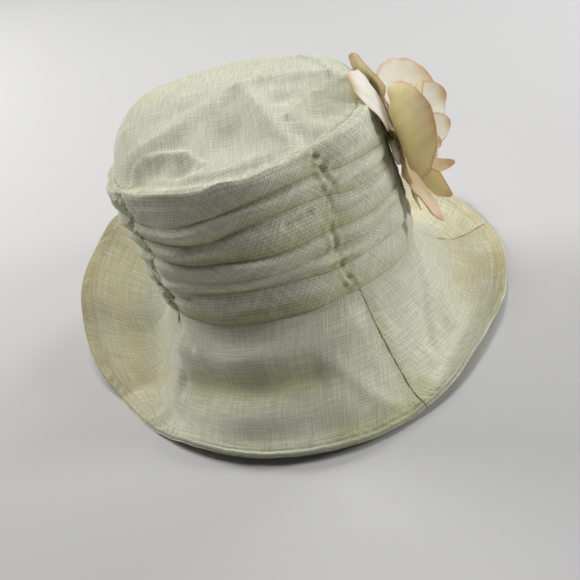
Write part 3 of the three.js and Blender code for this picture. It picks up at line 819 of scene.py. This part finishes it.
def crown_band():
    rows = FOLDS * FOLD_ROWS + LINING_ROWS + 1
    piece, u, v = flat_cloth("linen_crown_band", BAND_COLUMNS, rows)
    azimuth = u * 360 - 180
    row = np.rint(v * rows).astype(int)
    outside = row <= FOLDS * FOLD_ROWS
    fold = np.clip(row // FOLD_ROWS, 0, FOLDS - 1)
    along = np.where(outside, (row - fold * FOLD_ROWS) / FOLD_ROWS, 0)

    # Each fold lies between two creases, the first from the top seam and the last to the brim
    creases = range(1, FOLDS)
    top, nothing = around(TIP_SECTIONS, "seam_height", azimuth), 0 * azimuth
    heights = [top] + [around(CREASES, f"height{crease}", azimuth) for crease in creases]
    depths = [nothing] + [around(CREASES, f"depth{crease}", azimuth) for crease in creases]
    heights, depths = np.stack(heights + [SEWN_GAP + nothing]), np.stack(depths + [0.9 + nothing])
    above, below = pick(heights, fold), pick(heights, fold + 1)
    tight = np.clip(pick(depths, fold) * (1 - along) + pick(depths, fold + 1) * along, 0, 1)
    part = lambda column: through_knots(FOLD_PROFILE["along"], FOLD_PROFILE[column], along)
    down = along * (1 - tight) + part("down") * tight
    height = above * (1 - down) + below * down + part("tuck") * tight

    # The waves fade out where the band's two ends meet
    rng = np.random.default_rng(5)
    girth = round_band(azimuth)
    from_join = ramp(180 - np.abs(azimuth), 8)
    plump = 1 + 0.2 * from_join * ripples(rng, girth, fold * 37.0, 55, 30)
    behind_flower = bell(apart(azimuth, FLOWER_AZIMUTH), 38, 4) * bell(height - FLOWER_HEIGHT, 60, 4)
    out = (OPEN_OUT * (1 - tight) + part("out") * tight) * plump * np.array(FOLD_FULLNESS)[fold]
    pull = gather_pull(azimuth)
    out = np.minimum(out * (1 - 0.4 * pull), MOST_OUT - FLOWER_ROOM * behind_flower)
    round_top = np.sqrt(1 - (1 - ramp(top - height, 4)) ** 2)
    out = np.where(fold == 0, TOP_SEAM_OUT + (out - TOP_SEAM_OUT) * round_top, out)
    at_back = 0.35 + 0.65 * bell(apart(azimuth, -35), 62, 4)
    scallop = np.clip(0.85 + 0.45 * from_join * ripples(rng, girth, 0, 24, 60), 0.2, 1.6)
    roll = at_back * (1 - behind_flower) * scallop * np.sin(math.pi * ramp(along, ROLL_WIDTH))
    height += np.where(fold == 0, ROLL_RISE * roll, 0)

    crease = np.zeros_like(height)
    for from_turn, from_height, to_turn, to_height, depth in SHORT_CREASES:
        line = [(round_band(from_turn), from_height), (round_band(to_turn), to_height)]
        crease = np.maximum(crease, depth * bell(from_line(girth, height, line), 1.7))
    moved, pits = gathered(rng, azimuth, height, top)
    waves = 0.5 * ripples(rng, girth, height, 70, 14) + 0.3 * ripples(rng, girth, height, 30, 8)
    out = np.maximum(out - crease + moved + from_join * waves, -0.5)

    inner = np.clip((row - FOLDS * FOLD_ROWS - 1) / (LINING_ROWS - 1), 0, 1)
    lining_height = SEWN_GAP + (top - SEWN_GAP) * inner
    lining_radius = band_base(azimuth, lining_height) - BAND_LINING
    at_seam = (row == 0) | (row == rows)
    radius = np.where(outside, band_base(azimuth, height) + out, lining_radius)
    radius = np.where(at_seam, band_base(azimuth, top) + TOP_SEAM_OUT, radius)
    height = np.where(at_seam, top, np.where(outside, height, lining_height))
    along_cloth = np.where(outside, (fold + along) * FOLD_CLOTH, LINING_CLOTH + lining_height)
    lay_weave(piece, girth, along_cloth, BAND_WEAVE_TURN)

    # Painted shade: dark lines at the creases, shade on the folds' undersides, painted shadow just below
    # each fold's lip, at the short creases, in the gathers' pits and over the lining. The olive tint is
    # painted shade too, on the folds' undersides and at the gathers
    pinch = 0.6 * tight * bell(np.minimum(along, 1 - along), 0.06)
    underside = ramp(along - 0.4, 0.5) * tight * at_back
    shadow_under_lip = 0.22 * ramp(0.22 - along, 0.22) * tight * (fold > 0) * at_back
    shade = pinch + 0.28 * underside ** 1.5 + shadow_under_lip + 0.2 * crease + 0.4 * pits
    paint(piece, "shade", np.where(outside, shade, 0.25))
    paint(piece, "olive_stain_and_shade", np.where(outside, 0.85 * underside + 0.3 * pull, 0.2))
    paint(piece, "yellowing_and_backlight", 0.05 + 0 * height)
    shape(piece, settled(on_hat(azimuth, radius, height)))
    sew_shut(piece)
    return finish_piece(piece, LINEN, "linen", "crown_band")


# Brim: four panels with their hem

SIDE_ROWS = 84
COLUMNS_PER_DEGREE = 2

# Rows crowd towards the brim's edge, and columns towards a panel's seams
EDGE_CROWDING = 1.25
SEAM_CROWDING = 0.12

# The band's edge is this far inside the brim's, and the brim's edge curls up from this share on
BRIM_SEAM_OUT = 0.5
LIP_START = 0.75

# Length of one degree along the middle of the brim, and the radius of its hem
BRIM_DEGREE = math.radians(1) * 135
HEM_RADIUS = 150

# Across the cloth, the threads run apart this much by the brim's edge. Its underside is cut from
# another place of the cloth, this far along
CLOTH_SPREAD = 60
UNDERSIDE_CLOTH = 130

STITCH_SPACING = 3.1
STITCH_HALF_SIZES = [1.15, 0.3, 0.3]
STITCH_DEPTHS = [0.25, CLOTH + 0.55]


def brim_point(azimuth, share):
    """Upper side of the brim, from its seam (share 0) to its edge (share 1), and its width there."""
    row = lambda column: around(BRIM_SECTIONS, column, azimuth)
    bends = [(row(part + "_out"), row(part + "_height")) for part in ("wall", "bend", "edge")]
    out, height, length = along_section([(0 * azimuth, 0 * azimuth)] + bends, share)
    curl = row("lip") * (np.maximum(0, share - LIP_START) / (1 - LIP_START)) ** 2
    return on_hat(azimuth, head_radius(azimuth) + BRIM_SEAM_OUT + out, height + curl), length


def brim_axes(azimuth, share):
    """Out of the brim, along its section, and down, square to the cloth."""
    outer, inner = np.minimum(share + 0.01, 1), np.maximum(share - 0.01, 0)
    outward = brim_point(azimuth, outer)[0] - brim_point(azimuth, inner)[0]
    sideways = brim_point(azimuth + 1, share)[0] - brim_point(azimuth - 1, share)[0]
    return unit(outward), unit(np.cross(sideways, outward))


def brim_marks(table, across, reach):
    """How strongly each row's line marks the brim, one array for each row."""
    for strength, half_width, *line in table:
        places = [(azimuth * BRIM_DEGREE, distance) for azimuth, distance in line]
        yield strength * bell(from_line(across, reach, places), half_width)


def brim_panel(name, start, end):
    hem = len(HEM_ROLL)
    rows = 2 * SIDE_ROWS + hem + 2
    piece, u, v = flat_cloth("linen_" + name, round((end - start) * COLUMNS_PER_DEGREE), rows)
    u = u - SEAM_CROWDING * np.sin(2 * math.pi * u)
    azimuth = start + u * (end - start)

    # The rows run out along the upper side, round the hem and back along the underside
    row = np.rint(v * rows).astype(int)
    on_top = (row <= SIDE_ROWS) | (row == rows)
    on_hem = (row > SIDE_ROWS) & (row <= SIDE_ROWS + hem)
    upper = on_top | on_hem
    way_back = np.clip(1 - (row - SIDE_ROWS - hem - 1) / SIDE_ROWS, 0, 1)
    share = 1 - (1 - np.where(row <= SIDE_ROWS, row / SIDE_ROWS, way_back)) ** EDGE_CROWDING
    wall = CLOTH + (HEM - CLOTH) * share ** 4
    roll = np.array(HEM_ROLL)[np.clip(row - SIDE_ROWS - 1, 0, hem - 1)]
    drop = np.where(on_top, 0, np.where(on_hem, roll[:, 1] * wall / HEM_ROLL[-1][1], wall))
    point, length = brim_point(azimuth, share)
    outward, down = brim_axes(azimuth, share)

    # Both sides round off to meet at a seam, but at the flat seam the underside comes up
    aside = np.minimum(u, 1 - u) * math.radians(end - start) * np.hypot(point[:, 0], point[:, 1])
    flat_seam = apart(np.where(u < 0.5, start, end), FLAT_SEAM) == 0
    seam = np.sqrt(1 - (1 - ramp(aside, np.where(flat_seam, 0.15, 0.6))) ** 2)
    meeting = np.where(flat_seam, 0, wall / 2)
    drop = meeting + (drop - meeting) * seam
    out = np.where(on_hem, roll[:, 0], 0) * seam

    # The stitched hem. At the back its edge is rolled over, with a groove behind it
    rng = np.random.default_rng(int(start + 400))
    girth, across = np.radians(azimuth) * HEM_RADIUS, azimuth * BRIM_DEGREE
    from_edge, reach = (1 - share) * length, share * length
    at_back = bell(apart(azimuth, 0), 70, 6)
    stitch_line = bell(from_edge - HEM_WIDTH, 0.9) * (1 - 0.7 * at_back)
    lip_groove = at_back * bell(from_edge - 3, 0.9)
    edge_bead = at_back * bell(from_edge - 0.8, 1.1)
    in_hem = np.clip(1.2 - from_edge / HEM_WIDTH, 0, 1) * ramp(from_edge, 1.5)
    puckers = 0.5 * in_hem * ripples(rng, girth + from_edge * 0.9, from_edge, 6, 90)
    seam_waves = np.where(flat_seam, 0, 0.4) * np.exp(-aside / 4) * ripples(rng, from_edge, 0, 11, 50)
    sink = 0.45 * stitch_line + 0.7 * lip_groove - edge_bead - puckers - seam_waves

    swell = sum(brim_marks(BRIM_SWELLS, across, reach)) * ramp(reach, 8) * ramp(from_edge, 10)
    wave = 0.7 * ripples(rng, girth, from_edge, 90, 60) * ramp(share, 0.25) * ramp(aside, 12)
    edge_wave = 0.5 * ripples(rng, girth, 0, 26, 60) * share ** 6 * ramp(aside, 8)
    move = drop + np.where(upper, sink * seam, 0) - wave - edge_wave - swell
    placed = settled(point + outward * out[:, None] + down * move[:, None])
    placed[:, 2] = np.maximum(placed[:, 2], CLOTH * (1 - drop / wall))

    along_cloth = np.radians(azimuth - (start + end) / 2) * (head_radius(azimuth) + share * CLOTH_SPREAD)
    lay_weave(piece, along_cloth, reach + UNDERSIDE_CLOTH * drop.clip(0, 1))
    # Painted light shining through the turned-up flanges at the sides, warmer further out, and yellowing
    # along the hem; then olive stains, with painted olive shade in the hollow below the band
    backlit_flange = ramp(share - 0.35, 1 / 3)
    side = ramp(np.abs(apart(azimuth, 0)) - 62, 22)
    patchy = 0.8 + 0.2 * ripples(rng, across, reach, 50, 30)
    stains_and_shade = np.maximum.reduce(list(brim_marks(BRIM_STAINS_AND_SHADE, across, reach)))
    paint(piece, "yellowing_and_backlight", np.where(upper, 0.05 + side * (0.8 * backlit_flange * patchy + 0.25 * in_hem), 0.15))
    paint(piece, "olive_stain_and_shade", np.where(upper, stains_and_shade + 0.12 * in_hem * side, 0.1))
    seam_shade = np.where(flat_seam, 0.02, 0.15) * bell(aside, 0.9) + 0.15 * np.exp(-reach / 2)
    paint(piece, "shade", seam_shade + (0.1 * stitch_line + 0.35 * lip_groove) * upper)
    shape(piece, placed)
    sew_shut(piece)
    bpy.ops.object.shade_smooth_by_angle(angle=math.radians(60))
    return finish_piece(piece, LINEN, "linen", name)


def hem_stitches():
    """Short stitches along the hem on both sides of the brim."""
    clear_selection()
    bpy.ops.mesh.primitive_uv_sphere_add(segments=6, ring_count=4, radius=1)
    one = bpy.context.object
    one_points = np.array([vertex.co for vertex in one.data.vertices])
    one_faces = [list(face.vertices) for face in one.data.polygons]
    bpy.data.objects.remove(one)

    # Even steps along the stitch line, each with its azimuth
    share_at = lambda azimuth: 1 - HEM_WIDTH / brim_point(azimuth, np.ones_like(azimuth))[1]
    turns = np.arange(-180, 180, 0.05)
    line = settled(brim_point(turns, share_at(turns))[0])
    run = np.concatenate([[0], np.cumsum(np.linalg.norm(np.diff(line, axis=0), axis=1))])
    marks = np.interp(np.arange(0, run[-1], STITCH_SPACING), run, turns)
    seat = brim_point(marks, share_at(marks))[0]
    ahead = unit(brim_point(marks + 0.3, share_at(marks + 0.3))[0] - seat)
    outward, down = brim_axes(marks, share_at(marks))
    points, faces = [], []
    for depth in STITCH_DEPTHS:
        for i in range(len(marks)):
            axes = np.stack([ahead[i], outward[i], down[i]]) * np.array(STITCH_HALF_SIZES)[:, None]
            placed = settled(seat[i] + down[i] * depth + one_points @ axes)
            # No stitch where the brim touches the table
            if placed[:, 2].min() < 0.3:
                continue
            faces += [[index + len(points) * len(one_points) for index in face] for face in one_faces]
            points.append(placed)
    mesh = bpy.data.meshes.new("hem_stitches")
    mesh.from_pydata((np.concatenate(points) * MM).tolist(), [], faces)
    piece = new_object("hem_stitches", mesh)
    sew_shut(piece, 0.000001)
    return finish_piece(piece, THREAD, "linen")


# Flower, which has a frame of its own: +Z along its stalk and +X towards the hat's top

PETAL_GRID = (36, 30)
PETAL_WALL = 0.7
PETAL_LIFT = 0.35

# The leaf shape's widest place lies further out the smaller this is
PETAL_FULLNESS = 0.75

STALK_LINE = on_hat(STALK_AZIMUTH, math.cos(math.radians(STALK_RISE)), math.sin(math.radians(STALK_RISE)))
FLOWER_TOP = unit(np.array([0, 0, 1.0]) - STALK_LINE * STALK_LINE[2])
FLOWER_AXES = np.stack([FLOWER_TOP, np.cross(STALK_LINE, FLOWER_TOP), STALK_LINE])
BAND_AT_FLOWER = band_base(np.array(FLOWER_AZIMUTH), np.array(FLOWER_HEIGHT))
FLOWER_SEAT = on_hat(FLOWER_AZIMUTH, BAND_AT_FLOWER + FOLD_PUFF + GATHER_PULL + SEWN_GAP, FLOWER_HEIGHT)


def in_flower(points):
    """From the flower's frame to the hat as it rests on the table."""
    return settled(points @ FLOWER_AXES + FLOWER_SEAT)


def twisted(vectors, axis, angle):
    """Vectors turned round an axis through the origin."""
    kept = axis * (axis * vectors).sum(-1, keepdims=True)
    return kept + (vectors - kept) * np.cos(angle) + np.cross(axis, vectors) * np.sin(angle)


def petal(name, seed):
    row = dict(zip(PETAL_COLUMNS, PETALS[name]))
    piece, u, v = flat_cloth("cloth_" + name, *PETAL_GRID)
    rng = np.random.default_rng(seed)

    # Its middle line is an arc out of the stalk, and its width a leaf's
    opening = math.radians(row["opening"])
    start = STALK_RADIUS + PETAL_EASE + abs(math.cos(opening))
    foot = PAD_THICKNESS + PETAL_LEVELS[row["level"]]
    share, across = np.sin(math.pi / 2 * v), 2 * u - 1
    half_bend = math.radians(row["tip"] - row["opening"]) * share / 2
    chord = row["length"] * share * np.sinc(half_bend / math.pi)
    radius = start + chord * np.sin(opening + half_bend)
    height = foot + chord * np.cos(opening + half_bend)
    leaf = np.sqrt(np.maximum(np.sin(math.pi * share ** PETAL_FULLNESS), 0))
    half_width = np.maximum(PETAL_LEAST, row["width"] * leaf) / 2
    half_width = np.minimum(half_width, radius * math.radians(row["fan"]))
    half_width = half_width * (1 + 0.035 * ripples(rng, row["length"] * share, across * 40, 9, 60))
    wide, long = across * half_width, row["length"] * share

    # It wraps round the stalk, twists by its roll and crumples along its side that faces in
    turn, lean = wide / radius, opening + 2 * half_bend
    outward = np.stack([np.sin(lean), 0 * lean, np.cos(lean)], -1)
    roll = (math.radians(row["roll"]) * np.minimum(1, share / ROLL_SHARE))[:, None]
    arm = np.stack([radius * (np.cos(turn) - 1), radius * np.sin(turn), 0 * turn], -1)
    inwards = np.stack([-np.cos(lean) * np.cos(turn), -np.cos(lean) * np.sin(turn), np.sin(lean)], -1)
    margin = np.maximum(np.abs(across), share)
    ruffle = 1.1 * margin ** 4 * ripples(rng, wide, long, 22, 22)
    cup = 0.3 * ripples(rng, wide, long, 50, 50) * share
    crumple = 0.22 * ripples(rng, wide, long, 9, 40) * share
    facing = twisted(inwards, outward, roll)
    point = np.stack([radius, 0 * radius, height], -1) + twisted(arm, outward, roll)
    point += facing * (PETAL_LIFT + ruffle + cup + crumple)[:, None]
    stalk, placed_at = np.array([0, 0, 1.0]), math.radians(row["turn"])
    point, facing = twisted(point, stalk, placed_at), twisted(facing, stalk, placed_at)

    lay_weave(piece, wide, long, 20)
    # Petals in the flower's shade get the back's colour on both sides and a brown wash: painted shade
    in_painted_shade = name in SHADED_PETALS
    rim = 0.45 * in_painted_shade + 0.9 * ramp(margin - 0.86, 0.14) ** 1.6
    tip = 0.2 * ramp(share - 0.55, 0.45) ** 2
    patches = 0.12 * np.clip(ripples(rng, wide, long, 14, 30), 0, 1)
    paint(piece, "blush", rim + tip + patches)
    paint(piece, "green", np.clip(1.25 - margin * 1.3, 0, 1) * np.clip(0.6 - 0.6 * across, 0.1, 0.85))
    shape(piece, in_flower(point))

    # The wall is added behind the side that faces in
    work_mesh(piece, bpy.ops.mesh.normals_make_consistent, inside=False)
    normal = np.empty(len(piece.data.vertices) * 3, np.float32)
    piece.data.vertices.foreach_get("normal", normal)
    if (normal.reshape(-1, 3) * (in_flower(facing) - in_flower(0 * facing))).sum() < 0:
        work_mesh(piece, bpy.ops.mesh.flip_normals)
    front_points = len(piece.data.vertices)
    give_thickness(piece, PETAL_WALL)
    behind = np.full(len(piece.data.vertices), 1.0 * in_painted_shade)
    behind[front_points:] = 1
    paint(piece, "back", behind)
    bpy.ops.object.shade_smooth()
    return finish_piece(piece, PETAL_CLOTH, "petal_cloth", name)


def rounded_copy(node):
    """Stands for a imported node, with its corners rounded off."""
    name = "cloth_" + node
    piece = new_object(name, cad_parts[node].data.copy())
    piece.data.name = name
    sew_shut(piece)
    take(piece)
    rounded = piece.modifiers.new("rounded", "SUBSURF")
    rounded.levels = rounded.render_levels = 3
    bpy.ops.object.modifier_apply(modifier=rounded.name)
    return finish_piece(piece, STALK_CLOTH, "stalk_cloth", node)


# Camera, floor and light, in metres

CAMERA_RISE = math.radians(20.466)
CAMERA_ROLL = math.radians(-17.148)
CAMERA_DISTANCE = 0.85

# The camera aims this far below and to the right of the seam's middle
AIM_BELOW = 0.0239
AIM_RIGHT = 0.0012

# The photo's width and the camera's focal length in its pixels, and the sensor's width
PHOTO_WIDTH = 580
FOCAL_LENGTH = 1196.2
SENSOR_WIDTH = 36

# Name, place, size across, power and colour of each lamp, and the point that they all face
LAMPS = [
    ["overhead", (0, 0, 1.4), 0.6, 6.5, (1, 0.99, 0.96)],
    ["left_back", (-0.9, 0.9, 0.7), 0.6, 13, (1, 0.99, 0.97)],
    ["right_low", (1.3, -0.4, 0.55), 0.5, 9, (1, 1, 0.98)],
    ["right_back", (1, 0.8, 0.7), 0.6, 7, (1, 1, 1)],
]
LIT_POINT = (0, 0, 0.08)


def hat_direction(*crown_direction):
    return Vector(LEAN @ np.array(crown_direction))


def set_camera():
    back = hat_direction(0, -math.cos(CAMERA_RISE), math.sin(CAMERA_RISE))
    right = hat_direction(1, 0, 0)
    up = back.cross(right)
    level_right = right * math.cos(CAMERA_ROLL) + up * math.sin(CAMERA_ROLL)
    level_up = up * math.cos(CAMERA_ROLL) - right * math.sin(CAMERA_ROLL)
    seam = Vector(SEAM_MIDDLE) * MM
    camera = new_object("camera", bpy.data.cameras.new("camera"))
    camera.location = seam + back * CAMERA_DISTANCE
    aim = seam - level_up * AIM_BELOW + level_right * AIM_RIGHT
    view = (camera.location - aim).normalized()
    side = level_up.cross(view).normalized()
    camera.rotation_euler = Matrix((side, view.cross(side), view)).transposed().to_euler()
    camera.data.sensor_width = SENSOR_WIDTH
    camera.data.lens = SENSOR_WIDTH * FOCAL_LENGTH / PHOTO_WIDTH
    camera.data.clip_end = 20
    bpy.context.scene.camera = camera


def soft_light(name, place, size, power, colour):
    lamp = bpy.data.lights.new(name, "AREA")
    lamp.shape = "DISK"
    lamp.size = size
    lamp.energy = power
    lamp.color = colour
    light = new_object(name, lamp)
    light.location = place
    light.rotation_euler = (Vector(place) - Vector(LIT_POINT)).to_track_quat("Z", "Y").to_euler()


def studio():
    clear_selection()
    bpy.ops.mesh.primitive_plane_add(size=12, location=(0, 0, 0))
    floor = bpy.context.object
    floor.name = "floor"
    material, tree, shader = new_material("pale floor")
    place = add(tree, "TexCoord").outputs["Object"]
    noise = add(tree, "TexNoise", {"Vector": place, "Scale": 3.0, "Detail": 4.0}).outputs[0]
    colour = mix(tree, noise, rgb(0.62, 0.62, 0.63), rgb(0.66, 0.66, 0.67))
    set_shader(tree, shader, colour, roughness=0.8)
    floor.data.materials.append(material)
    bpy.context.scene.view_settings.view_transform = "Standard"
    world = bpy.context.scene.world or bpy.data.worlds.new("studio")
    bpy.context.scene.world = world
    world.use_nodes = True
    background = world.node_tree.nodes["Background"]
    background.inputs["Color"].default_value = rgb(1.0, 0.985, 0.95)
    background.inputs["Strength"].default_value = 0.05
    for lamp in LAMPS:
        soft_light(*lamp)


set_camera()
studio()
crown_tip()
crown_band()
for panel in BRIM_PANELS:
    brim_panel(*panel)
hem_stitches()
rounded_copy("flower_base")
rounded_copy("flower_centre")
for seed, petal_name in enumerate(PETALS):
    petal(petal_name, seed)
